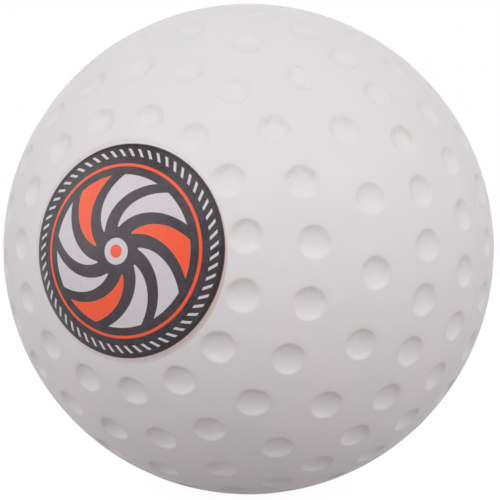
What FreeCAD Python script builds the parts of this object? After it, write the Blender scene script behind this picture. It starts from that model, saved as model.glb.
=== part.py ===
import FreeCAD, Part
import math
import os
from FreeCAD import Vector

# Field hockey ball: one solid moulding, dimpled all round, with a round film label on one pole.
# Lengths are in millimetres, and angles in degrees.
# The origin is the ball's centre, with +Z up. The label's pole is on -Y, and the mould's two halves
# meet at the plane Y = 0. Angles round the Y axis run clockwise from +Z, seen facing the label.

# Ball
BALL_DIAMETER = 73.0  # 229 mm round

# Dimples: round scoops, all alike
DIMPLE_DIAMETER = 4.3  # across the rim
DIMPLE_DEPTH = 0.6  # from the crown of the ball's surface to the scoop's floor

# Rings of dimples in one half, from the one beside the parting plane to the one round the label
RING_COUNTS = [30, 30, 20, 20, 15]
RING_STARTS = [0.0, 6.1, 0.3, 10.0, 12.0]  # each ring's first dimple, from the index line
INDEX_ANGLE = 21.9  # the index line itself, from +Z
PARTING_LAND = 2.2  # smooth land from the parting plane to the rims beside it
FAR_HALF_TURN = 6.0  # the far half is turned on by this, so that dimples stagger across the plane

# Label: a clear film disc, printed inside its rim, which follows the ball
LABEL_DIAMETER = 30.0  # over the ball's surface
LABEL_THICKNESS = 0.15
LABEL_SHIFT_X = 1.3  # how far off the pole it was stuck, over the ball's surface
LABEL_SHIFT_Z = 0.5
LABEL_TO_RIM = 0.2  # least land between the film and the ring of dimples round it

CENTRE = Vector(0, 0, 0)
SIDEWAYS = Vector(1, 0, 0)
POLE_AXIS = Vector(0, 1, 0)
UP = Vector(0, 0, 1)

ball_radius = BALL_DIAMETER / 2
rim_radius = DIMPLE_DIAMETER / 2
label_shift = math.hypot(LABEL_SHIFT_X, LABEL_SHIFT_Z)


def turned_by(length):
    """The angle at the ball's centre that a length over its surface spans."""
    return math.degrees(length / ball_radius)


def ring_latitudes():
    """Evenly spaced, from the land at the parting plane to the land round the label."""
    rim_angle = math.degrees(math.asin(rim_radius / ball_radius))
    first = turned_by(PARTING_LAND) + rim_angle
    last = 90 - turned_by(LABEL_DIAMETER / 2 + label_shift + LABEL_TO_RIM) - rim_angle
    pitch = (last - first) / (len(RING_COUNTS) - 1)
    return [first + pitch * ring for ring in range(len(RING_COUNTS))]


def scoop():
    """The sphere that cuts one dimple, centred on the line out along +Z."""
    rim_height = math.sqrt(ball_radius**2 - rim_radius**2)
    rise = rim_height - (ball_radius - DIMPLE_DEPTH)
    scoop_radius = (rim_radius**2 + rise**2) / (2 * rise)
    centre_height = ball_radius - DIMPLE_DEPTH + scoop_radius
    # turned about X, the cutter has its own seam on its far side, so that each dimple is one clean face
    return Part.makeSphere(scoop_radius, UP * centre_height, SIDEWAYS)


def moulded_half():
    """The half that carries the label: a hemisphere on the parting plane, dimpled ring by ring."""
    dimples = []
    for latitude, count, start in zip(ring_latitudes(), RING_COUNTS, RING_STARTS):
        first = scoop()
        first.rotate(CENTRE, SIDEWAYS, latitude)
        for place in range(count):
            dimple = first.copy()
            dimple.rotate(CENTRE, POLE_AXIS, INDEX_ANGLE + start + place * 360 / count)
            dimples.append(dimple)
    dome = Part.makeSphere(ball_radius, CENTRE, POLE_AXIS * -1, 0, 90, 360)
    return dome.cut(dimples)


def moulded_ball():
    """One solid of two like halves: the far one is turned over about the index line, then turned on."""
    near = moulded_half()
    index_angle = math.radians(INDEX_ANGLE)
    index_line = Vector(math.sin(index_angle), 0, math.cos(index_angle))
    far = near.copy()
    far.rotate(CENTRE, index_line, 180)
    far.rotate(CENTRE, POLE_AXIS, FAR_HALF_TURN)
    return near.fuse(far)


def film_label():
    """A disc of film lying on the ball: the section between two arcs, turned round its own axis."""
    half_angle = math.radians(turned_by(LABEL_DIAMETER / 2))
    outer_radius = ball_radius + LABEL_THICKNESS

    def on_arc(radius, angle):
        return Vector(radius * math.sin(angle), -radius * math.cos(angle), 0)

    def arc(radius, start, end):
        ends = on_arc(radius, start), on_arc(radius, (start + end) / 2), on_arc(radius, end)
        return Part.Arc(*ends).toShape()

    section = Part.Wire(
        [
            arc(ball_radius, 0, half_angle),
            Part.makeLine(on_arc(ball_radius, half_angle), on_arc(outer_radius, half_angle)),
            arc(outer_radius, half_angle, 0),
            Part.makeLine(on_arc(outer_radius, 0), on_arc(ball_radius, 0)),
        ]
    )
    film = Part.Face(section).revolve(CENTRE, POLE_AXIS, 360)
    # the shift is a turn about the axis across it, which brings the disc from the pole to its place
    across = Vector(-LABEL_SHIFT_Z, 0, LABEL_SHIFT_X)
    if label_shift > 0:
        film.rotate(CENTRE, across, turned_by(label_shift))
    return film


def write(name, shape):
    """Each node has its own STEP file."""
    shape.exportStep(os.path.join("parts", name + ".step"))
    state = "valid" if shape.isValid() else "broken"
    print(name, state, len(shape.Solids), "solid", len(shape.Faces), "faces", round(shape.Volume, 1), "mm3")


os.makedirs("parts", exist_ok=True)
write("ball", moulded_ball())
write("label", film_label())
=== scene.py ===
import math

import bpy
import numpy as np
from bpy.props import FloatProperty, FloatVectorProperty, PointerProperty
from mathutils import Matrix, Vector


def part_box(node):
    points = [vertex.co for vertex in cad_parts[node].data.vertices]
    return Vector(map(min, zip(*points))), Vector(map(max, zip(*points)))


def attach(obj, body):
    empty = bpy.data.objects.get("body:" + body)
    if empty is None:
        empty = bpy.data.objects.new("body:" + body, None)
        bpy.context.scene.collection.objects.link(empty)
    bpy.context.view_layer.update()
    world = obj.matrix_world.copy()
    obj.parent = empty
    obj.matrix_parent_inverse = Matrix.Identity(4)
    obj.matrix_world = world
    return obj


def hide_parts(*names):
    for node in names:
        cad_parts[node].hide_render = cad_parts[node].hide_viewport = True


bl_info = {
    "name": "Field Hockey Ball",
    "version": (1, 0, 0),
    "blender": (4, 5, 0),
    "location": "View3D > Sidebar > Hockey Ball",
    "description": "A dimpled field hockey ball with its round film label, on a plain studio floor",
    "category": "Add Mesh",
}

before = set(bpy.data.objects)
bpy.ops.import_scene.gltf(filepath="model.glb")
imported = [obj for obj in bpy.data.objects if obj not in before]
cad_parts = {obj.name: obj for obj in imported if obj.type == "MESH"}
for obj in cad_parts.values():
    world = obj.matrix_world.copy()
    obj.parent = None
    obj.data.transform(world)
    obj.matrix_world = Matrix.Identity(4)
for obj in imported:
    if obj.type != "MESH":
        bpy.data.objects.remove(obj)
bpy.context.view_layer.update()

MM = 0.001
DEGREE = math.pi / 180

# Rings of dimples in one half, from the one beside the parting plane to the one round the label
RING_COUNTS = (30, 30, 20, 20, 15)
RING_STARTS = (0.0, 6.1, 0.3, 10.0, 12.0)  # degrees from the index line to each ring's first dimple

# The ball's grid: every dimple sits in a cell of its own, and the cells share one lattice
LATTICE_STEP = 1.5  # degrees between the points along the edges between two rings
CELL_SNAP = 3.0  # a cell's middle lies on the nearest multiple of this
SIDE_STEPS = 8
CAP_STEPS = 11
HOLLOW_STATIONS = (0.25, 0.5, 0.72, 0.885, 0.942, 1.0, 1.058, 1.115, 1.2)  # shares of the rim's angle
LAND_STATIONS = (0.5, 1.0)  # shares of the way from the last of those to the cell's edge
LAND_REACH = 1.5  # the reach that all the land has, as a share of the rim's angle
RIM_LOBES = (2, 3, 5)  # waves round a rim that is out of round
PHASE_SPREAD = 50.0  # radians between the phases of the dimples with the least and the greatest chance
LEAST_SOFT = 0.6  # the least worn rim's softness, as a share of the setting
WELD_DISTANCE = 1e-8

# The film's grid
FILM_SPOKES = 240
FILM_RINGS = 30
EDGE_STEPS = 8
SHARP_ANGLE = 60 * DEGREE  # the film's underside and top meet at more than this, and shade apart
PRINT_SPAN = 16 * MM  # from the middle of the film's UV map to its edge

# Where the mould's halves met: a fine line, and the strip that was trimmed along it
LINE_HALF_WIDTH = 0.1 * MM
LINE_SOFTNESS = 0.2 * MM
LINE_HEIGHT = 0.012 * MM
TRIM_HALF_WIDTH = 0.8 * MM
TRIM_SOFTNESS = 0.9 * MM

PIT_HEIGHT = 0.03 * MM

# Print on the film: lengths as shares of the printed disc's radius
PRINT_SOFTNESS = 0.006  # across the edge between two colours
EDGE_SOFTNESS = 0.008  # across the edge of the whole print
STROKE_COUNT = 60
STROKE_RADIUS = 0.91
STROKE_HALF_LENGTH = 0.036
STROKE_HALF_WIDTH = 0.016
STROKE_SLANT = 0.9  # radians that a stroke turns over one radius outward
RING_RADIUS = 0.79
RING_HALF_WIDTH = 0.014
FAN_RADIUS = 0.46
FAN_HALF_WIDTH = 0.24
BLADE_COUNT = 9
BLADE_SWEEP = -1.9  # radians that a blade turns over one radius outward
GAP_HALF_WIDTH = 0.07  # of the gap between two blades
HUB_RADIUS = 0.12
FRINGE_RADIUS = 0.997
FRINGE_HALF_WIDTH = 0.008
FRINGE_SOFTNESS = 0.01

# Red ink past the print's edge: the mean of its strength, and the height of each of its two waves
BLEED_MEAN = 0.19
BLEED_WAVE = 0.155

FLOOR_RADIUS = 3.0
FLOOR_SPOKES = 96


# Grids and meshes


def unit(vectors):
    """Each vector divided by its own length."""
    return vectors / np.linalg.norm(vectors, axis=-1, keepdims=True)


def on_globe(latitude, azimuth):
    """
    Unit vectors on the half that carries the label. The latitude runs from the parting plane to the pole
    on -Y, and the azimuth clockwise from +Z, seen facing the label, both in degrees:
    x = cos(latitude) sin(azimuth), y = -sin(latitude), z = cos(latitude) cos(azimuth).
    """
    latitude, azimuth = np.broadcast_arrays(latitude * DEGREE, azimuth * DEGREE)
    level = np.cos(latitude)
    return np.stack([level * np.sin(azimuth), -np.sin(latitude), level * np.cos(azimuth)], axis=-1)


def turn_about(axis, angle):
    """The matrix that turns by an angle in radians about a unit axis, by the rule of Rodrigues."""
    x, y, z = axis
    cross = np.array([[0, -z, y], [z, 0, -x], [-y, x, 0]])
    return np.eye(3) + math.sin(angle) * cross + (1 - math.cos(angle)) * cross @ cross


def cell_outline(width, low, high):
    """
    The points round one cell, as turns from its middle and latitudes, in degrees: along its low edge, up
    its side, back along its high edge and down its other side, evenly spaced along each.
    """
    across = np.linspace(-width / 2, width / 2, round(width / LATTICE_STEP) + 1)
    upward = np.linspace(low, high, SIDE_STEPS + 1)
    ends = np.ones(SIDE_STEPS) * width / 2
    level = np.ones(len(across) - 1)
    turns = np.concatenate([across[:-1], ends, across[:0:-1], -ends])
    latitudes = np.concatenate([level * low, upward[:-1], level * high, upward[:0:-1]])
    return turns, latitudes


def fan(spokes, first):
    """Triangles from point 0 to the closed row of points that starts at first."""
    here = np.arange(spokes)
    return np.stack([np.zeros(spokes, int), first + (here + 1) % spokes, first + here], axis=-1)


def bands(spokes, rows, first):
    """Quads between each two closed rows of points, where the first row is the innermost."""
    here = np.arange(spokes)
    after = (here + 1) % spokes
    start = first + spokes * np.arange(rows - 1)[:, None]
    quads = np.stack([start + here, start + after, start + spokes + after, start + spokes + here], axis=-1)
    return quads.reshape(-1, 4)


def dimple_profile(ball, reach, softness):
    """
    The surface's distance from the ball's centre, where reach is the angle from the dimple's centre line.
    The hollow is a flat ellipsoid, so that its wall steepens towards the rim. It is w across and 2 d deep,
    with its middle at c on that line, so a point at distance t is on it where
    (t sin(reach) / (w / 2))^2 + ((t cos(reach) - c) / d)^2 = 1, which is solved for t. The surface is the
    smooth minimum of that and the ball's radius: min(a, b) - h^2 k / 4, where k is the softness and h the
    share by which their difference falls short of it.
    """
    rim = ball.dimple_diameter / 2
    half = ball.bowl_width / 2
    rise = math.sqrt(ball.radius**2 - rim**2) - (ball.radius - ball.dimple_depth)
    depth = rise / (1 - math.sqrt(1 - (rim / half) ** 2))
    middle = ball.radius - ball.dimple_depth + depth
    square = (np.sin(reach) / half) ** 2 + (np.cos(reach) / depth) ** 2
    single = middle * np.cos(reach) / depth**2
    inside = np.maximum(single**2 - square * ((middle / depth) ** 2 - 1), 0)
    scoop = (single - np.sqrt(inside)) / square
    short = np.maximum(softness - np.abs(scoop - ball.radius), 0) / softness
    return np.minimum(scoop, ball.radius) - short**2 * softness / 4


def rim_shape(ball, around, chances):
    """
    How far out of round each rim is, as the reach's share at each angle round it: 1 + w s, where w is the
    unevenness and s = (cos(2 a + p) + cos(3 a + 2 p) + cos(5 a + 3 p)) / 3. The phase p comes from the
    dimple's chance, so no two rims are alike.
    """
    phase = PHASE_SPREAD * chances[:, None]
    waves = sum(np.cos(lobes * around + times * phase) for times, lobes in enumerate(RIM_LOBES, start=1))
    return 1 + ball.rim_unevenness * waves / len(RIM_LOBES)


def ring_latitudes(ball, label):
    """Evenly spaced, from the land at the parting plane to the land round the label, in degrees."""
    rim_angle = math.asin(ball.dimple_diameter / 2 / ball.radius)
    shift = math.hypot(label.shift_x, label.shift_z)
    first = ball.parting_land / ball.radius + rim_angle
    last = math.pi / 2 - (label.diameter / 2 + shift + label.land_to_rim) / ball.radius - rim_angle
    return np.linspace(first, last, len(RING_COUNTS)) / DEGREE


def dimple_ring(ball, count, start, latitude, low, high, chances, up):
    """
    One ring of cells. In each, rows of points run round the dimple's centre line at the same angles from
    it, out past the rim, and then spread evenly to the cell's edge. Returns points, quads, triangles and
    each point's marks: its reach from the centre line as a share of the rim's, its dimple's chance, and
    its lift, which is the part of the reach that points up.
    """
    index_angle = ball.index_angle / DEGREE
    pitch = 360 / count
    places = index_angle + pitch * np.arange(count)[:, None]
    turns, latitudes = cell_outline(pitch, low, high)
    snapped = CELL_SNAP * round(start / CELL_SNAP)
    outline = on_globe(latitudes[None], places + snapped + turns)
    middle = on_globe(np.array(latitude), places + start)
    across = (outline * middle).sum(-1, keepdims=True)
    bearing = unit(outline - across * middle)
    edge = np.arccos(across[..., 0])[:, None]
    rim_angle = math.asin(ball.dimple_diameter / 2 / ball.radius)
    hollow = rim_angle * np.array(HOLLOW_STATIONS)[None, :, None]
    land = np.array(LAND_STATIONS)[None, :, None]
    reach = np.concatenate(
        [hollow + 0 * edge, hollow[:, -1:] + land * (edge - hollow[:, -1:])], axis=1
    )
    spokes = outline.shape[1]
    rows = reach.shape[1]
    way = np.cos(reach)[..., None] * middle[:, None] + np.sin(reach)[..., None] * bearing[:, None]
    upward = unit(up - (middle @ up)[..., None] * middle)
    sideward = np.cross(upward, middle)
    upright = (bearing * upward).sum(-1)
    around = np.arctan2((bearing * sideward).sum(-1), upright)
    worn_reach = reach * rim_shape(ball, around, chances)[:, None]
    softness = ball.rim_softness * (LEAST_SOFT + ball.rim_wear * chances[:, None, None])
    radius = dimple_profile(ball, worn_reach, softness)
    radius[:, -1] = ball.radius
    points = (way * radius[..., None]).reshape(count, -1, 3)
    points = np.concatenate([middle * (ball.radius - ball.dimple_depth), points], axis=1)
    share = np.minimum(worn_reach / rim_angle, LAND_REACH)
    lift = share * upright[:, None]
    chance = np.broadcast_to(chances[:, None, None], share.shape)
    marks = np.stack([share, chance, lift], axis=-1)
    marks[:, -1] = (LAND_REACH, 0, 0)
    at_middle = np.stack([0 * chances, chances, 0 * chances], axis=-1)[:, None]
    marks = np.concatenate([at_middle, marks.reshape(count, -1, 3)], axis=1)
    offsets = points.shape[1] * np.arange(count)[:, None, None]
    quads = (offsets + bands(spokes, rows, 1)).reshape(-1, 4)
    triangles = (offsets + fan(spokes, 1)).reshape(-1, 3)
    return points.reshape(-1, 3), quads, triangles, marks.reshape(-1, 3)


def polar_cap(ball, low):
    """The smooth cap inside the last ring: rows of equal latitude on the ball's own radius, to the pole."""
    azimuths = ball.index_angle / DEGREE + np.arange(0, 360, LATTICE_STEP)
    latitudes = np.linspace(90, low, CAP_STEPS + 1)[1:]
    rows = on_globe(latitudes[:, None], azimuths[None]).reshape(-1, 3)
    points = ball.radius * np.concatenate([[[0.0, -1.0, 0.0]], rows])
    spokes = len(azimuths)
    marks = np.tile([LAND_REACH, 0.0, 0.0], (len(points), 1))
    return points, bands(spokes, CAP_STEPS, 1), fan(spokes, 1), marks


def join(parts):
    """Several sets of points, quads, triangles and marks as one set."""
    counts = [len(part[0]) for part in parts]
    offsets = np.concatenate([[0], np.cumsum(counts)[:-1]])
    points = np.concatenate([part[0] for part in parts])
    quads = np.concatenate([part[1] + offset for part, offset in zip(parts, offsets)])
    triangles = np.concatenate([part[2] + offset for part, offset in zip(parts, offsets)])
    marks = np.concatenate([part[3] for part in parts])
    return points, quads, triangles, marks


def moulded_half(ball, label, random, up):
    """The half that carries the label: five rings of cells, whose edges lie midway between the rings."""
    latitudes = ring_latitudes(ball, label)
    between = (latitudes[1:] + latitudes[:-1]) / 2
    top = latitudes[-1] + (latitudes[-1] - latitudes[-2]) / 2
    edges = np.concatenate([[0], between, [top]])
    rings = []
    for ring, count in enumerate(RING_COUNTS):
        chances = random.random(count)
        spot = latitudes[ring], edges[ring], edges[ring + 1]
        rings.append(dimple_ring(ball, count, RING_STARTS[ring], *spot, chances, up))
    return join([*rings, polar_cap(ball, top)])


def moulded_ball(ball, label):
    """
    Both halves, welded along the parting plane. The far half is the near one turned over about the index
    line, by half a turn, and then turned on about +Y, by whole steps of the lattice, so that the points of
    both halves meet there.
    """
    random = np.random.default_rng(seed=11)
    up = np.array([0.0, 0.0, 1.0])
    index_line = (math.sin(ball.index_angle), 0, math.cos(ball.index_angle))
    lattice_step = LATTICE_STEP * DEGREE
    turn_on = lattice_step * round(ball.far_half_turn / lattice_step)
    turned = turn_about((0, 1, 0), turn_on) @ turn_about(index_line, math.pi)
    near = moulded_half(ball, label, random, up)
    far = moulded_half(ball, label, random, up @ turned)
    far = far[0] @ turned.T, *far[1:]
    points, quads, triangles, marks = join([near, far])
    grid = np.round(points / WELD_DISTANCE).astype(np.int64)
    _, kept, welded = np.unique(grid, axis=0, return_index=True, return_inverse=True)
    welded = welded.ravel()
    return points[kept], welded[quads], welded[triangles], marks[kept]


def label_axes(ball, label):
    """The film's own axes: right and up as seen facing it, and out through its middle."""
    shift = math.hypot(label.shift_x, label.shift_z)
    tilt = shift / ball.radius
    side = np.array([label.shift_x, 0, label.shift_z]) / shift
    out = math.cos(tilt) * np.array([0, -1, 0]) + math.sin(tilt) * side
    up = unit(np.array([0, 0, 1]) - out[2] * out)
    return np.cross(up, out), up, out


def film_section(label):
    """
    The film's section as arc lengths from its middle and heights over the ball: out along the underside,
    up its feathered edge, and back along the top. The edge rises by half a wave: at the share s of the
    taper, its height is the film's thickness times (1 - cos(pi s)) / 2.
    """
    half = label.diameter / 2
    outward = np.linspace(0, half, FILM_RINGS)
    feather = np.linspace(0, 1, EDGE_STEPS)[1:]
    inward = np.linspace(half - label.edge_taper, 0, FILM_RINGS)[1:]
    lengths = np.concatenate([outward, half - label.edge_taper * feather, inward])
    rise = (1 - np.cos(math.pi * feather)) / 2
    heights = label.thickness * np.concatenate([0 * outward, rise, 0 * inward + 1])
    return lengths, heights


def film_label(ball, label):
    """
    The film's section carried round its axis: a point lies at the ball's radius plus its height, on the
    line that leaves the axis by its arc length over the ball's radius. Also returns each point's place on
    the flat film, right and up from its middle.
    """
    right, up, out = label_axes(ball, label)
    lengths, heights = film_section(label)
    around = np.linspace(0, 2 * math.pi, FILM_SPOKES, endpoint=False)
    side = np.cos(around)[:, None] * up + np.sin(around)[:, None] * right
    angle = (lengths / ball.radius)[:, None, None]
    rows = (ball.radius + heights)[:, None, None] * (np.cos(angle) * out + np.sin(angle) * side[None])
    flat = lengths[:, None, None] * np.stack([np.sin(around), np.cos(around)], axis=-1)
    points = np.concatenate([rows[:1, 0], rows[1:-1].reshape(-1, 3), rows[-1:, 0]])
    flat = np.concatenate([flat[:1, 0], flat[1:-1].reshape(-1, 2), flat[-1:, 0]])
    inner_rows = len(lengths) - 2
    quads = bands(FILM_SPOKES, inner_rows, 1)[:, ::-1]
    underside = fan(FILM_SPOKES, 1)[:, ::-1]
    here = np.arange(FILM_SPOKES)
    last = 1 + FILM_SPOKES * (inner_rows - 1)
    middle = np.full(FILM_SPOKES, len(points) - 1)
    top = np.stack([middle, last + (here + 1) % FILM_SPOKES, last + here], axis=-1)
    return points, quads, np.concatenate([underside, top]), flat


def new_piece(name, points, quads, triangles):
    """A smooth mesh object at the origin, with its place in its mesh."""
    mesh = bpy.data.meshes.new(name)
    mesh.from_pydata(points.tolist(), [], quads.tolist() + triangles.tolist())
    mesh.shade_smooth()
    piece = bpy.data.objects.new(name, mesh)
    bpy.context.scene.collection.objects.link(piece)
    return piece


def add_attribute(mesh, name, values):
    """A number for each point, which a material reads by its name."""
    attribute = mesh.attributes.new(name, "FLOAT", "POINT")
    attribute.data.foreach_set("value", values.astype(np.float32))


# Nodes


def set_inputs(tree, node, inputs):
    """Wires each input that is given a socket, and sets each other one to its value."""
    for key, value in dict(inputs).items():
        if isinstance(value, bpy.types.NodeSocket):
            tree.links.new(value, node.inputs[key])
        else:
            node.inputs[key].default_value = value


def add_node(tree, kind, inputs=(), **settings):
    """A node with its settings and its inputs."""
    node = tree.nodes.new(kind)
    for name, value in settings.items():
        setattr(node, name, value)
    set_inputs(tree, node, inputs)
    return node


def calculate(tree, operation, *values):
    """One Math node's result."""
    return add_node(tree, "ShaderNodeMath", enumerate(values), operation=operation).outputs[0]


def product(tree, first, *others):
    """Several values multiplied together."""
    for other in others:
        first = calculate(tree, "MULTIPLY", first, other)
    return first


def ramp(tree, value, start, end, low=0.0, high=1.0):
    """Goes smoothly from low to high as the value goes from start to end."""
    inputs = {"Value": value, "From Min": start, "From Max": end, "To Min": low, "To Max": high}
    node = add_node(tree, "ShaderNodeMapRange", inputs, interpolation_type="SMOOTHSTEP")
    return node.outputs["Result"]


def mix_colour(tree, share, first, second):
    """The first colour where the share is 0, and the second where it is 1."""
    inputs = {"Factor": share}
    for key, colour in ((6, first), (7, second)):
        inputs[key] = colour if isinstance(colour, bpy.types.NodeSocket) else (*colour, 1)
    return add_node(tree, "ShaderNodeMix", inputs, data_type="RGBA").outputs[2]


def noise(tree, place, size, detail=2.0, roughness=0.5):
    """Cloudy noise from 0 to 1, whose features are about as large as the size says."""
    inputs = {"Vector": place, "Scale": 1 / size, "Detail": detail, "Roughness": roughness}
    return add_node(tree, "ShaderNodeTexNoise", inputs).outputs["Fac"]


def new_group(name, inputs, outputs):
    """An empty node group with named sockets. Returns its tree and its input and output nodes."""
    tree = bpy.data.node_groups.new(name, "ShaderNodeTree")
    for socket, kind in inputs:
        tree.interface.new_socket(socket, in_out="INPUT", socket_type=kind)
    for socket, kind in outputs:
        tree.interface.new_socket(socket, in_out="OUTPUT", socket_type=kind)
    return tree, tree.nodes.new("NodeGroupInput"), tree.nodes.new("NodeGroupOutput")


def place_group(tree, group, inputs):
    """A group placed in a material, with its own values."""
    return add_node(tree, "ShaderNodeGroup", inputs, node_tree=group).outputs


def stripe_group():
    """A soft-edged stripe of a value: 1 within the half width of its middle, and 0 outside."""
    name = "Stripe"
    if name in bpy.data.node_groups:
        return bpy.data.node_groups[name]
    sockets = [(socket, "NodeSocketFloat") for socket in ("Value", "Middle", "Half Width", "Softness")]
    tree, start, end = new_group(name, sockets, [("Mask", "NodeSocketFloat")])
    away = calculate(tree, "ABSOLUTE", calculate(tree, "SUBTRACT", start.outputs[0], start.outputs[1]))
    over = calculate(tree, "SUBTRACT", away, start.outputs[2])
    share = calculate(tree, "DIVIDE", over, start.outputs[3])
    tree.links.new(ramp(tree, share, -0.5, 0.5, 1.0, 0.0), end.inputs[0])
    return tree


def stripe(tree, value, middle, half_width, softness):
    """The mask of one stripe of a value."""
    inputs = {"Value": value, "Middle": middle, "Half Width": half_width, "Softness": softness}
    return place_group(tree, stripe_group(), inputs)["Mask"]


def skin_group():
    """
    A moulded or coated skin: two sizes of grain in its height, and slow clouds in its tone. Both are
    noise on the place, and the height is in metres.
    """
    name = "Skin"
    if name in bpy.data.node_groups:
        return bpy.data.node_groups[name]
    inputs = [
        ("Place", "NodeSocketVector"),
        ("Grain Size", "NodeSocketFloat"),
        ("Grain Height", "NodeSocketFloat"),
        ("Swell Size", "NodeSocketFloat"),
        ("Swell Height", "NodeSocketFloat"),
        ("Cloud Size", "NodeSocketFloat"),
    ]
    outputs = [("Height", "NodeSocketFloat"), ("Clouds", "NodeSocketFloat")]
    tree, start, end = new_group(name, inputs, outputs)
    place, grain, grain_height, swell, swell_height, cloud = start.outputs[:6]
    heights = []
    for size, height in ((grain, grain_height), (swell, swell_height)):
        scale = calculate(tree, "DIVIDE", 1.0, size)
        inputs = {"Vector": place, "Scale": scale, "Detail": 2.0, "Roughness": 0.5}
        texture = add_node(tree, "ShaderNodeTexNoise", inputs)
        heights.append(calculate(tree, "MULTIPLY", texture.outputs["Fac"], height))
    tree.links.new(calculate(tree, "ADD", *heights), end.inputs["Height"])
    scale = calculate(tree, "DIVIDE", 1.0, cloud)
    clouds = add_node(tree, "ShaderNodeTexNoise", {"Vector": place, "Scale": scale, "Detail": 3.0})
    tree.links.new(ramp(tree, clouds.outputs["Fac"], 0.3, 0.7), end.inputs["Clouds"])
    return tree


def new_material(name, slot_name):
    """A material with an empty Principled shader. Returns it, its tree and its shader."""
    material = bpy.data.materials.new(name)
    material.use_nodes = True
    material["slot"] = slot_name
    return material, material.node_tree, material.node_tree.nodes["Principled BSDF"]


def link_finish(tree, shader, colour, roughness, height):
    """Wires a colour, a roughness and the surface's height in metres to a material's shader."""
    bump = add_node(tree, "ShaderNodeBump", {"Strength": 1.0, "Distance": 1.0, "Height": height})
    normal = bump.outputs["Normal"]
    set_inputs(tree, shader, {"Base Color": colour, "Roughness": roughness, "Normal": normal})


def scaled(colour, factor):
    """A colour made darker or lighter all over."""
    return tuple(min(1.0, part * factor) for part in colour)


def moulding_material(ball):
    """
    Satin off-white moulding: faint clouds on the land, a warm edge round the dimples that is also painted
    shade at each rim's top, mottled patches of stain and painted shade under the upper rims, pale flecks
    and painted highlight near the lower ones, dark arcs of painted shade along a few, small pits in the
    hollows, and the trimmed strip and worn line where the mould's halves met.
    """
    material, tree, shader = new_material("white_moulding", "white_moulding")
    place = add_node(tree, "ShaderNodeTexCoord").outputs["Object"]
    reach = add_node(tree, "ShaderNodeAttribute", attribute_name="dimple_reach").outputs["Fac"]
    chance = add_node(tree, "ShaderNodeAttribute", attribute_name="dimple_chance").outputs["Fac"]
    lift = add_node(tree, "ShaderNodeAttribute", attribute_name="dimple_lift").outputs["Fac"]
    split = add_node(tree, "ShaderNodeSeparateXYZ", {0: place}).outputs
    skin = place_group(
        tree,
        skin_group(),
        {
            "Place": place,
            "Grain Size": 0.45 * MM,
            "Grain Height": 0.004 * MM,
            "Swell Size": 3.5 * MM,
            "Swell Height": 0.02 * MM,
            "Cloud Size": 9 * MM,
        },
    )
    land = mix_colour(tree, skin["Clouds"], ball.land_colour, ball.cloud_colour)
    inside = ramp(tree, reach, 1.06, 0.86)
    patches = ramp(tree, noise(tree, place, 1.4 * MM, 3.0), 0.42, 0.62)
    tint_share = calculate(tree, "MULTIPLY", inside, calculate(tree, "MULTIPLY_ADD", patches, 0.5, 0.45))
    colour = mix_colour(tree, tint_share, land, ball.hollow_colour)

    # the tones round a rim wander a little from it
    wander = calculate(tree, "MULTIPLY_ADD", noise(tree, place, 1.1 * MM), 0.2, -0.1)
    wandering = calculate(tree, "ADD", reach, wander)

    def rim(middle, half_width, softness):
        return stripe(tree, wandering, middle, half_width, softness)

    # a warm edge all round, and painted shade: darkest and strongest at each rim's top, where the hollow's
    # wall faces down, and stronger on the ball's lower half
    warm = product(
        tree,
        rim(0.94, 0.25, 0.5),
        ramp(tree, lift, -1.0, 0.9, 0.06, 0.4),
        ramp(tree, split["Z"], -12 * MM, 14 * MM, 0.7, 0.3),
    )
    colour = mix_colour(tree, warm, colour, ball.warm_edge_and_shade_colour)

    # mottled patches under the upper rims: stain, and painted shade where the hollow's wall faces down;
    # more in some dimples than in others, and most above the ball's middle
    stain_and_shade = product(
        tree,
        ramp(tree, noise(tree, place, 1.3 * MM, 3.0, 0.6), 0.42, 0.68),
        rim(0.8, 0.15, 0.36),
        ramp(tree, lift, -0.5, 0.7, 0.25, 1.0),
        ramp(tree, chance, 0.1, 0.9, 0.15, 0.75),
        ramp(tree, split["Z"], -8 * MM, 10 * MM, 0.25, 1.0),
        ramp(tree, split["Z"], 13 * MM, 26 * MM, 1.0, 0.4),
    )
    colour = mix_colour(tree, stain_and_shade, colour, ball.stain_and_shade_colour)

    # pale flecks in the hollows, near the lower rims where the wall faces up to the light: flecks and
    # painted highlight
    flecks = product(
        tree,
        ramp(tree, noise(tree, place, 0.5 * MM, 3.0), 0.58, 0.66),
        rim(0.72, 0.12, 0.3),
        ramp(tree, lift, -0.1, -0.6, 0.0, 0.6),
    )
    colour = mix_colour(tree, flecks, colour, ball.fleck_and_highlight_colour)

    # thin dark arcs along the upper part of a few rims: painted shade where the hollow's wall faces down
    arcs = product(
        tree,
        rim(0.95, 0.025, 0.06),
        ramp(tree, chance, 0.55, 0.75, 0.0, 0.2),
        ramp(tree, noise(tree, place, 2.5 * MM), 0.52, 0.6),
        ramp(tree, lift, 0.2, 0.8),
    )
    colour = mix_colour(tree, arcs, colour, ball.dirt_and_shade_colour)

    # the line where the mould's halves met, worn away in places
    line = product(
        tree,
        stripe(tree, split["Y"], 0.0, LINE_HALF_WIDTH, LINE_SOFTNESS),
        ramp(tree, noise(tree, place, 4 * MM, 1.0), 0.48, 0.62),
    )
    colour = mix_colour(tree, product(tree, line, 0.18), colour, ball.dirt_and_shade_colour)

    trimmed = stripe(tree, split["Y"], 0.0, TRIM_HALF_WIDTH, TRIM_SOFTNESS)
    polish = calculate(tree, "MULTIPLY_ADD", skin["Clouds"], 0.06, ball.roughness)
    polish = calculate(tree, "MULTIPLY_ADD", trimmed, 0.08, polish)
    height = calculate(tree, "MULTIPLY_ADD", line, LINE_HEIGHT, skin["Height"])
    pitted = product(tree, inside, noise(tree, place, 0.7 * MM, 3.0))
    height = calculate(tree, "MULTIPLY_ADD", pitted, PIT_HEIGHT, height)
    shader.inputs["Specular IOR Level"].default_value = 0.25
    link_finish(tree, shader, colour, polish, height)
    return material


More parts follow.
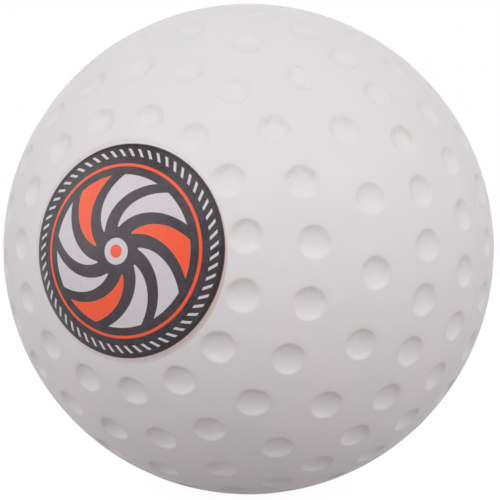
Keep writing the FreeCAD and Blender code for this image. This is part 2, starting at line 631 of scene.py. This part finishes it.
def print_place(tree, label):
    """
    Where a point lies in the print: its distance from the print's middle as a share of the printed
    radius, and its turn clockwise from the top. The film was pulled a little as it was stuck, so the
    print is stretched along one line.
    """
    uv = add_node(tree, "ShaderNodeUVMap", uv_map="film").outputs["UV"]
    span = 2 * PRINT_SPAN / label.print_radius
    offset = Vector(label.print_shift) / label.print_radius
    centred = add_node(
        tree,
        "ShaderNodeMapping",
        {
            "Vector": uv,
            "Location": (-span / 2 - offset[0], -span / 2 - offset[1], 0),
            "Scale": (span, span, 1),
        },
    ).outputs["Vector"]
    turned = add_node(
        tree, "ShaderNodeMapping", {"Vector": centred, "Rotation": (0, 0, label.stretch_turn)}
    ).outputs["Vector"]
    squeezed = add_node(
        tree,
        "ShaderNodeMapping",
        {"Vector": turned, "Scale": (1 - label.stretch, 1 + label.stretch, 1)},
    ).outputs["Vector"]
    straight = add_node(
        tree, "ShaderNodeMapping", {"Vector": squeezed, "Rotation": (0, 0, -label.stretch_turn)}
    ).outputs["Vector"]
    wobble = noise(tree, straight, 0.05, 2.0)
    split = add_node(tree, "ShaderNodeSeparateXYZ", {0: straight}).outputs
    distance = add_node(tree, "ShaderNodeVectorMath", {0: straight}, operation="LENGTH").outputs["Value"]
    distance = calculate(tree, "ADD", distance, calculate(tree, "MULTIPLY_ADD", wobble, 0.004, -0.002))
    turn = calculate(tree, "ARCTAN2", split["X"], split["Y"])
    return distance, turn


def film_material(label):
    """
    Glossy film with a faint orange-peel surface. Its print is charcoal, with a border of short slanted
    strokes, a ring, and a fan of curved blades round a hub, all worked out from the distance and the turn.
    """
    material, tree, shader = new_material("printed_film", "printed_film")
    distance, turn = print_place(tree, label)
    place = add_node(tree, "ShaderNodeTexCoord").outputs["Object"]

    def ring(middle, half_width, softness=PRINT_SOFTNESS):
        return stripe(tree, distance, middle, half_width, softness)

    def disc(value, edge, softness=PRINT_SOFTNESS):
        return ramp(tree, value, edge + softness / 2, edge - softness / 2)

    def repeat(turned, count):
        """How far round its copy a point is, from -0.5 to 0.5, and the width of a copy there."""
        share = calculate(tree, "FRACT", product(tree, turned, count / (2 * math.pi)))
        share = calculate(tree, "SUBTRACT", share, 0.5)
        return share, product(tree, distance, 2 * math.pi / count)

    mottle = calculate(tree, "ADD", noise(tree, place, 2.5 * MM), noise(tree, place, 0.3 * MM))
    thick, thin = scaled(label.charcoal, 0.45), scaled(label.charcoal, 1.5)
    charcoal = mix_colour(tree, ramp(tree, mottle, 0.8, 1.2), thick, thin)
    # painted reflection: the charcoal lightens towards the print's middle
    painted_sheen = mix_colour(tree, ramp(tree, distance, 1.0, 0.3), charcoal, scaled(label.charcoal, 2.2))
    charcoal = mix_colour(tree, 0.6, charcoal, painted_sheen)

    # the border of slanted strokes
    outward = calculate(tree, "SUBTRACT", distance, STROKE_RADIUS)
    slanted = calculate(tree, "MULTIPLY_ADD", outward, STROKE_SLANT, turn)
    share, width = repeat(slanted, STROKE_COUNT)
    from_stroke = product(tree, calculate(tree, "ABSOLUTE", share), width)
    stroke_band = ring(STROKE_RADIUS, STROKE_HALF_LENGTH)
    strokes = product(tree, disc(from_stroke, STROKE_HALF_WIDTH), stroke_band)

    # the fan of blades, every third one orange
    curved = calculate(tree, "MULTIPLY_ADD", distance, BLADE_SWEEP, turn)
    share, width = repeat(curved, BLADE_COUNT)
    from_gap = calculate(tree, "SUBTRACT", 0.5, calculate(tree, "ABSOLUTE", share))
    from_gap = product(tree, from_gap, width)
    soft = PRINT_SOFTNESS / 2
    beside_gap = ramp(tree, from_gap, GAP_HALF_WIDTH - soft, GAP_HALF_WIDTH + soft)
    blades = product(tree, beside_gap, ring(FAN_RADIUS, FAN_HALF_WIDTH))
    place_in_three, _ = repeat(curved, BLADE_COUNT / 3)
    first_of_three = calculate(tree, "LESS_THAN", place_in_three, -1 / 6)
    orange_blades = product(tree, blades, first_of_three)

    pale = calculate(tree, "MAXIMUM", strokes, blades)
    pale = calculate(tree, "MAXIMUM", pale, disc(distance, HUB_RADIUS))
    orange = calculate(tree, "MAXIMUM", ring(RING_RADIUS, RING_HALF_WIDTH), orange_blades)
    orange = calculate(tree, "MAXIMUM", orange, disc(distance, HUB_RADIUS / 2))
    fringe = ring(FRINGE_RADIUS, FRINGE_HALF_WIDTH, FRINGE_SOFTNESS)
    outermost = ramp(tree, distance, 0.96, 0.975)

    charcoal = mix_colour(tree, outermost, charcoal, scaled(label.charcoal, 0.3))
    colour = mix_colour(tree, pale, charcoal, label.pale)
    colour = mix_colour(tree, fringe, colour, label.fringe)
    colour = mix_colour(tree, orange, colour, label.orange)

    # red ink bleeds past the print's edge, most on one side and less on the one across from it
    from_most = calculate(tree, "SUBTRACT", turn, label.bleed_turn)
    once = calculate(tree, "COSINE", from_most)
    twice = calculate(tree, "COSINE", product(tree, from_most, 2.0))
    waves = calculate(tree, "ADD", once, twice)
    bleed = calculate(tree, "MULTIPLY_ADD", waves, BLEED_WAVE, BLEED_MEAN)
    bleed = product(tree, bleed, ramp(tree, distance, 1.075, 1.01))
    border = mix_colour(tree, bleed, label.clear_film, label.bleed_colour)
    colour = mix_colour(tree, disc(distance, 1.0, EDGE_SOFTNESS), border, colour)

    peel = place_group(
        tree,
        skin_group(),
        {
            "Place": place,
            "Grain Size": 0.35 * MM,
            "Grain Height": 0.012 * MM,
            "Swell Size": 2.2 * MM,
            "Swell Height": 0.02 * MM,
            "Cloud Size": 5 * MM,
        },
    )
    shader.inputs["Specular IOR Level"].default_value = 0.35
    gloss = calculate(tree, "MULTIPLY_ADD", peel["Clouds"], 0.05, label.roughness)
    link_finish(tree, shader, colour, gloss, peel["Height"])
    return material


# Stage


def camera_axes(stage):
    """Right, up and back towards the camera, for the azimuth and elevation that the photograph has."""
    azimuth, elevation = stage.azimuth, stage.elevation
    back = Vector(
        (
            math.sin(azimuth) * math.cos(elevation),
            -math.cos(azimuth) * math.cos(elevation),
            math.sin(elevation),
        )
    )
    right = Vector((math.cos(azimuth), math.sin(azimuth), 0))
    return right, back.cross(right), back


def aim(thing, place):
    """Puts a camera or a lamp at a place, looking at the ball's centre."""
    thing.location = place
    thing.rotation_euler = (-place).to_track_quat("-Z", "Y").to_euler()


def add_camera(stage):
    data = bpy.data.cameras.new("camera")
    data.lens = stage.lens
    data.shift_x, data.shift_y = stage.camera_shift
    camera = bpy.data.objects.new("camera", data)
    bpy.context.scene.collection.objects.link(camera)
    aim(camera, camera_axes(stage)[2] * stage.distance)
    bpy.context.scene.camera = camera


def add_lamp(name, stage, way, radiance):
    """
    A square soft box with the same brightness all over: power = pi area radiance. Its way from the ball
    is given to the camera's right, up and back.
    """
    data = bpy.data.lights.new(name, "AREA")
    data.shape = "SQUARE"
    data.size = stage.box_size
    data.energy = math.pi * stage.box_size**2 * radiance
    lamp = bpy.data.objects.new(name, data)
    lamp.visible_camera = False
    bpy.context.scene.collection.objects.link(lamp)
    place = sum((axis * share for axis, share in zip(camera_axes(stage), way)), Vector())
    aim(lamp, place.normalized() * stage.box_distance)


def seen_rays(tree):
    """1 for the rays that look at the background: the camera's own, and those in gloss and glass."""
    path = add_node(tree, "ShaderNodeLightPath").outputs
    seen = calculate(tree, "MAXIMUM", path["Is Camera Ray"], path["Is Glossy Ray"])
    return calculate(tree, "MAXIMUM", seen, path["Is Transmission Ray"])


def light_world(stage):
    """Even light from all round, and plain white wherever the background itself is seen."""
    world = bpy.data.worlds.new("studio")
    world.use_nodes = True
    bpy.context.scene.world = world
    tree = world.node_tree
    light = tree.nodes["Background"]
    light.inputs["Color"].default_value = (*stage.world_colour, 1)
    light.inputs["Strength"].default_value = stage.world_strength
    white = add_node(tree, "ShaderNodeBackground", {"Color": (1, 1, 1, 1), "Strength": 1.0})
    shaders = {0: seen_rays(tree), 1: light.outputs[0], 2: white.outputs[0]}
    mix = add_node(tree, "ShaderNodeMixShader", shaders)
    tree.links.new(mix.outputs[0], tree.nodes["World Output"].inputs["Surface"])


def floor_material(stage):
    """
    A pale floor with an even glow, which lights the ball from below. It keeps the ball's shadow, and is
    lifted to white where it is seen.
    """
    material = bpy.data.materials.new("floor")
    material.use_nodes = True
    tree = material.node_tree
    shader = tree.nodes["Principled BSDF"]
    shader.inputs["Base Color"].default_value = (*stage.floor_colour, 1)
    shader.inputs["Roughness"].default_value = 0.9
    shader.inputs["Specular IOR Level"].default_value = 0.0
    lift = add_node(tree, "ShaderNodeEmission", {"Color": (1, 1, 1, 1)})
    strength = calculate(tree, "MULTIPLY_ADD", seen_rays(tree), stage.floor_lift, stage.floor_glow)
    tree.links.new(strength, lift.inputs["Strength"])
    both = add_node(tree, "ShaderNodeAddShader", {0: shader.outputs[0], 1: lift.outputs[0]})
    tree.links.new(both.outputs[0], tree.nodes["Material Output"].inputs["Surface"])
    return material


def add_floor(ball, stage):
    """A round floor that touches the ball's lowest point: a point in the middle and one closed row."""
    around = np.linspace(0, 2 * math.pi, FLOOR_SPOKES, endpoint=False)
    rim = FLOOR_RADIUS * np.stack([np.cos(around), np.sin(around), 0 * around], axis=-1)
    points = np.concatenate([np.zeros((1, 3)), rim]) - [0, 0, ball.radius]
    floor = new_piece("floor", points, np.zeros((0, 4), int), fan(len(around), 1)[:, ::-1])
    floor.data.materials.append(floor_material(stage))


# Settings


class HockeyBallMoulding(bpy.types.PropertyGroup):
    """Sizes and finish of the ball"""

    radius: FloatProperty(
        name="Radius",
        description="From the ball's centre to its land",
        default=max(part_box("ball")[1]),
        unit="LENGTH",
    )
    dimple_diameter: FloatProperty(
        name="Dimple Diameter", description="Across a dimple's rim", default=4.3 * MM, unit="LENGTH"
    )
    dimple_depth: FloatProperty(
        name="Dimple Depth",
        description="From the crown of the ball's surface to the dimple's floor",
        default=0.6 * MM,
        unit="LENGTH",
    )
    bowl_width: FloatProperty(
        name="Bowl Width",
        description="Of the ellipsoid that a dimple is part of. Near the rim's, the wall is steep",
        default=4.8 * MM,
        unit="LENGTH",
    )
    rim_softness: FloatProperty(
        name="Rim Softness",
        description="How far apart land and hollow are where the rim's rounding starts",
        default=0.12 * MM,
        unit="LENGTH",
    )
    rim_wear: FloatProperty(
        name="Rim Wear", description="How much softer the most worn rims are", default=0.9, subtype="FACTOR"
    )
    rim_unevenness: FloatProperty(
        name="Rim Unevenness",
        description="How far the rims are out of round",
        default=0.05,
        subtype="FACTOR",
    )
    parting_land: FloatProperty(
        name="Parting Land",
        description="Smooth land from the parting plane to the rims beside it",
        default=2.2 * MM,
        unit="LENGTH",
    )
    index_angle: FloatProperty(
        name="Index Angle",
        description="The line that the dimples are counted from, clockwise from the top",
        default=21.9 * DEGREE,
        unit="ROTATION",
    )
    far_half_turn: FloatProperty(
        name="Far Half Turn",
        description="How far the far half is turned on, so that dimples stagger across the plane",
        default=6.0 * DEGREE,
        unit="ROTATION",
    )
    land_colour: FloatVectorProperty(
        name="Land", description="Off-white of the moulding", default=(0.77, 0.735, 0.753), subtype="COLOR"
    )
    cloud_colour: FloatVectorProperty(
        name="Clouds", description="Cooler patches in it", default=(0.738, 0.728, 0.735), subtype="COLOR"
    )
    hollow_colour: FloatVectorProperty(
        name="Hollows", description="Tone in the dimples", default=(0.758, 0.743, 0.755), subtype="COLOR"
    )
    # warm tint round the dimples, also painted shade at each rim's top
    warm_edge_and_shade_colour: FloatVectorProperty(
        name="Edges", description="Warm edge round the dimples", default=(0.68, 0.58, 0.49), subtype="COLOR"
    )
    # patches under the upper rims: stain tone and painted shade
    stain_and_shade_colour: FloatVectorProperty(
        name="Stains",
        description="Patches under the upper rims",
        default=(0.60, 0.58, 0.52),
        subtype="COLOR",
    )
    # pale flecks, also painted highlight on the lower walls of the hollows
    fleck_and_highlight_colour: FloatVectorProperty(
        name="Flecks", description="Pale flecks in the dimples", default=(0.85, 0.83, 0.82), subtype="COLOR"
    )
    # painted shade in the arcs along the upper rims, and dirt in the parting line
    dirt_and_shade_colour: FloatVectorProperty(
        name="Dirt",
        description="Arcs along rims, parting line",
        default=(0.35, 0.31, 0.28),
        subtype="COLOR",
    )
    roughness: FloatProperty(
        name="Roughness", description="Satin finish of the moulding", default=0.6, subtype="FACTOR"
    )


class HockeyBallLabel(bpy.types.PropertyGroup):
    """Sizes and print of the film label"""

    diameter: FloatProperty(
        name="Diameter", description="Over the ball's surface", default=30.0 * MM, unit="LENGTH"
    )
    thickness: FloatProperty(name="Thickness", description="Of the film", default=0.15 * MM, unit="LENGTH")
    edge_taper: FloatProperty(
        name="Edge Taper",
        description="How far in the film reaches its thickness",
        default=1.6 * MM,
        unit="LENGTH",
    )
    shift_x: FloatProperty(
        name="Shift X", description="How far off the pole it was stuck", default=1.3 * MM, unit="LENGTH"
    )
    shift_z: FloatProperty(
        name="Shift Z", description="How far off the pole it was stuck", default=0.5 * MM, unit="LENGTH"
    )
    land_to_rim: FloatProperty(
        name="Land to Rim",
        description="Least land between the film and the dimples round it",
        default=0.2 * MM,
        unit="LENGTH",
    )
    print_radius: FloatProperty(
        name="Print Radius", description="Of the printed disc", default=14.36 * MM, unit="LENGTH"
    )
    print_shift: FloatVectorProperty(
        name="Print Shift",
        description="From the film's middle to the print's, right and up",
        size=2,
        default=(0.14 * MM, 0.02 * MM),
        unit="LENGTH",
    )
    stretch: FloatProperty(
        name="Stretch", description="How much the print was pulled", default=0.0197, subtype="FACTOR"
    )
    stretch_turn: FloatProperty(
        name="Stretch Turn",
        description="From the line it was pulled along to level",
        default=-24.2 * DEGREE,
        unit="ROTATION",
    )
    charcoal: FloatVectorProperty(
        name="Charcoal", description="Ground of the print", default=(0.032, 0.023, 0.030), subtype="COLOR"
    )
    orange: FloatVectorProperty(
        name="Orange",
        description="Ring and every third blade",
        default=(0.93, 0.105, 0.036),
        subtype="COLOR",
    )
    pale: FloatVectorProperty(
        name="Pale", description="Strokes and blades", default=(0.64, 0.60, 0.635), subtype="COLOR"
    )
    fringe: FloatVectorProperty(
        name="Fringe",
        description="Line at the print's edge",
        default=(0.055, 0.014, 0.012),
        subtype="COLOR",
    )
    clear_film: FloatVectorProperty(
        name="Clear Film",
        description="Border outside the print",
        default=(0.71, 0.675, 0.685),
        subtype="COLOR",
    )
    bleed_colour: FloatVectorProperty(
        name="Bleed", description="Red ink past the print's edge", default=(0.5, 0.3, 0.26), subtype="COLOR"
    )
    bleed_turn: FloatProperty(
        name="Bleed Turn",
        description="Where the ink bleeds most, clockwise from the top",
        default=125 * DEGREE,
        unit="ROTATION",
    )
    roughness: FloatProperty(
        name="Roughness", description="Gloss of the film", default=0.26, subtype="FACTOR"
    )


class HockeyBallStage(bpy.types.PropertyGroup):
    """Camera, floor and light"""

    azimuth: FloatProperty(
        name="Azimuth", description="Camera's turn round the ball", default=29.7 * DEGREE, unit="ROTATION"
    )
    elevation: FloatProperty(
        name="Elevation", description="Camera's height as an angle", default=1.4 * DEGREE, unit="ROTATION"
    )
    distance: FloatProperty(
        name="Distance",
        description="From the camera to the ball's centre",
        default=204.4 * MM,
        unit="LENGTH",
    )
    lens: FloatProperty(name="Lens", description="Focal length in millimetres", default=97.3)
    camera_shift: FloatVectorProperty(
        name="Shift",
        description="Of the picture, as a share of its width",
        size=2,
        default=(0.00268, -0.00184),
    )
    world_colour: FloatVectorProperty(
        name="World", description="Colour of the even light", default=(1.0, 1.0, 1.0), subtype="COLOR"
    )
    world_strength: FloatProperty(name="World Strength", description="Of the even light", default=0.31)
    floor_colour: FloatVectorProperty(
        name="Floor", description="Colour of the floor", default=(0.26, 0.23, 0.24), subtype="COLOR"
    )
    floor_glow: FloatProperty(name="Floor Glow", description="Its own even light", default=0.185)
    floor_lift: FloatProperty(
        name="Floor Lift", description="What brings the floor up to white where it is seen", default=0.72
    )
    box_size: FloatProperty(name="Box Size", description="Of a soft box", default=0.7, unit="LENGTH")
    box_distance: FloatProperty(
        name="Box Distance", description="From the ball to a soft box", default=0.6, unit="LENGTH"
    )
    left_light: FloatProperty(name="Left Light", description="Brightness of the left soft box", default=1.5)
    right_light: FloatProperty(name="Right Light", description="Of the right soft box", default=1.5)
    top_light: FloatProperty(name="Top Light", description="Of the one over the camera", default=1.25)
    back_light: FloatProperty(name="Back Light", description="Of the one over the back", default=0.6)


# Operators


class HOCKEYBALL_OT_mould_ball(bpy.types.Operator):
    """Mould the dimpled ball in place of its plain solid"""

    bl_idname = "hockey_ball.mould_ball"
    bl_label = "Mould Ball"

    def execute(self, context):
        scene = context.scene
        points, quads, triangles, marks = moulded_ball(scene.hockey_moulding, scene.hockey_label)
        piece = new_piece("dimpled_ball", points, quads, triangles)
        for name, values in zip(("dimple_reach", "dimple_chance", "dimple_lift"), marks.T):
            add_attribute(piece.data, name, values)
        piece.data.materials.append(moulding_material(scene.hockey_moulding))
        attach(piece, "root")
        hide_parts("ball")
        return {"FINISHED"}


class HOCKEYBALL_OT_stick_label(bpy.types.Operator):
    """Stick the printed film on the ball in place of its plain solid"""

    bl_idname = "hockey_ball.stick_label"
    bl_label = "Stick Label"

    def execute(self, context):
        scene = context.scene
        points, quads, triangles, flat = film_label(scene.hockey_moulding, scene.hockey_label)
        piece = new_piece("film_label", points, quads, triangles)
        mesh = piece.data
        mesh.set_sharp_from_angle(angle=SHARP_ANGLE)
        corners = np.zeros(len(mesh.loops), int)
        mesh.loops.foreach_get("vertex_index", corners)
        spread = 0.5 + flat[corners] / (2 * PRINT_SPAN)
        mesh.uv_layers.new(name="film").data.foreach_set("uv", spread.ravel())
        mesh.materials.append(film_material(scene.hockey_label))
        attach(piece, "root")
        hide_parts("label")
        return {"FINISHED"}


class HOCKEYBALL_OT_set_stage(bpy.types.Operator):
    """Set the camera, the floor and the soft light"""

    bl_idname = "hockey_ball.set_stage"
    bl_label = "Set Stage"

    def execute(self, context):
        scene = context.scene
        stage = scene.hockey_stage
        add_camera(stage)
        add_floor(scene.hockey_moulding, stage)
        light_world(stage)
        lamps = (
            ("left_box", (-1.0, 0.05, 0.45), stage.left_light),
            ("right_box", (1.0, 0.05, 0.45), stage.right_light),
            ("top_box", (0.0, 0.62, 0.8), stage.top_light),
            ("back_box", (0.0, 0.5, -0.85), stage.back_light),
        )
        for name, way, radiance in lamps:
            add_lamp(name, stage, way, radiance)
        scene.view_settings.view_transform = "Standard"
        return {"FINISHED"}


class HOCKEYBALL_PT_panel(bpy.types.Panel):
    """Lists the ball's operators and settings"""

    bl_idname = "HOCKEYBALL_PT_panel"
    bl_label = "Field Hockey Ball"
    bl_space_type = "VIEW_3D"
    bl_region_type = "UI"
    bl_category = "Hockey Ball"

    def draw(self, context):
        steps = (
            (HOCKEYBALL_OT_mould_ball, HockeyBallMoulding, context.scene.hockey_moulding),
            (HOCKEYBALL_OT_stick_label, HockeyBallLabel, context.scene.hockey_label),
            (HOCKEYBALL_OT_set_stage, HockeyBallStage, context.scene.hockey_stage),
        )
        for operator, group, settings in steps:
            box = self.layout.box()
            box.operator(operator.bl_idname)
            for name in group.__annotations__:
                box.prop(settings, name)


CLASSES = (
    HockeyBallMoulding,
    HockeyBallLabel,
    HockeyBallStage,
    HOCKEYBALL_OT_mould_ball,
    HOCKEYBALL_OT_stick_label,
    HOCKEYBALL_OT_set_stage,
    HOCKEYBALL_PT_panel,
)


def register():
    for cls in CLASSES:
        bpy.utils.register_class(cls)
    bpy.types.Scene.hockey_moulding = PointerProperty(type=HockeyBallMoulding)
    bpy.types.Scene.hockey_label = PointerProperty(type=HockeyBallLabel)
    bpy.types.Scene.hockey_stage = PointerProperty(type=HockeyBallStage)


def unregister():
    del bpy.types.Scene.hockey_stage
    del bpy.types.Scene.hockey_label
    del bpy.types.Scene.hockey_moulding
    for cls in reversed(CLASSES):
        bpy.utils.unregister_class(cls)


def main():
    register()
    bpy.ops.hockey_ball.mould_ball()
    bpy.ops.hockey_ball.stick_label()
    bpy.ops.hockey_ball.set_stage()


if __name__ == "__main__":
    main()
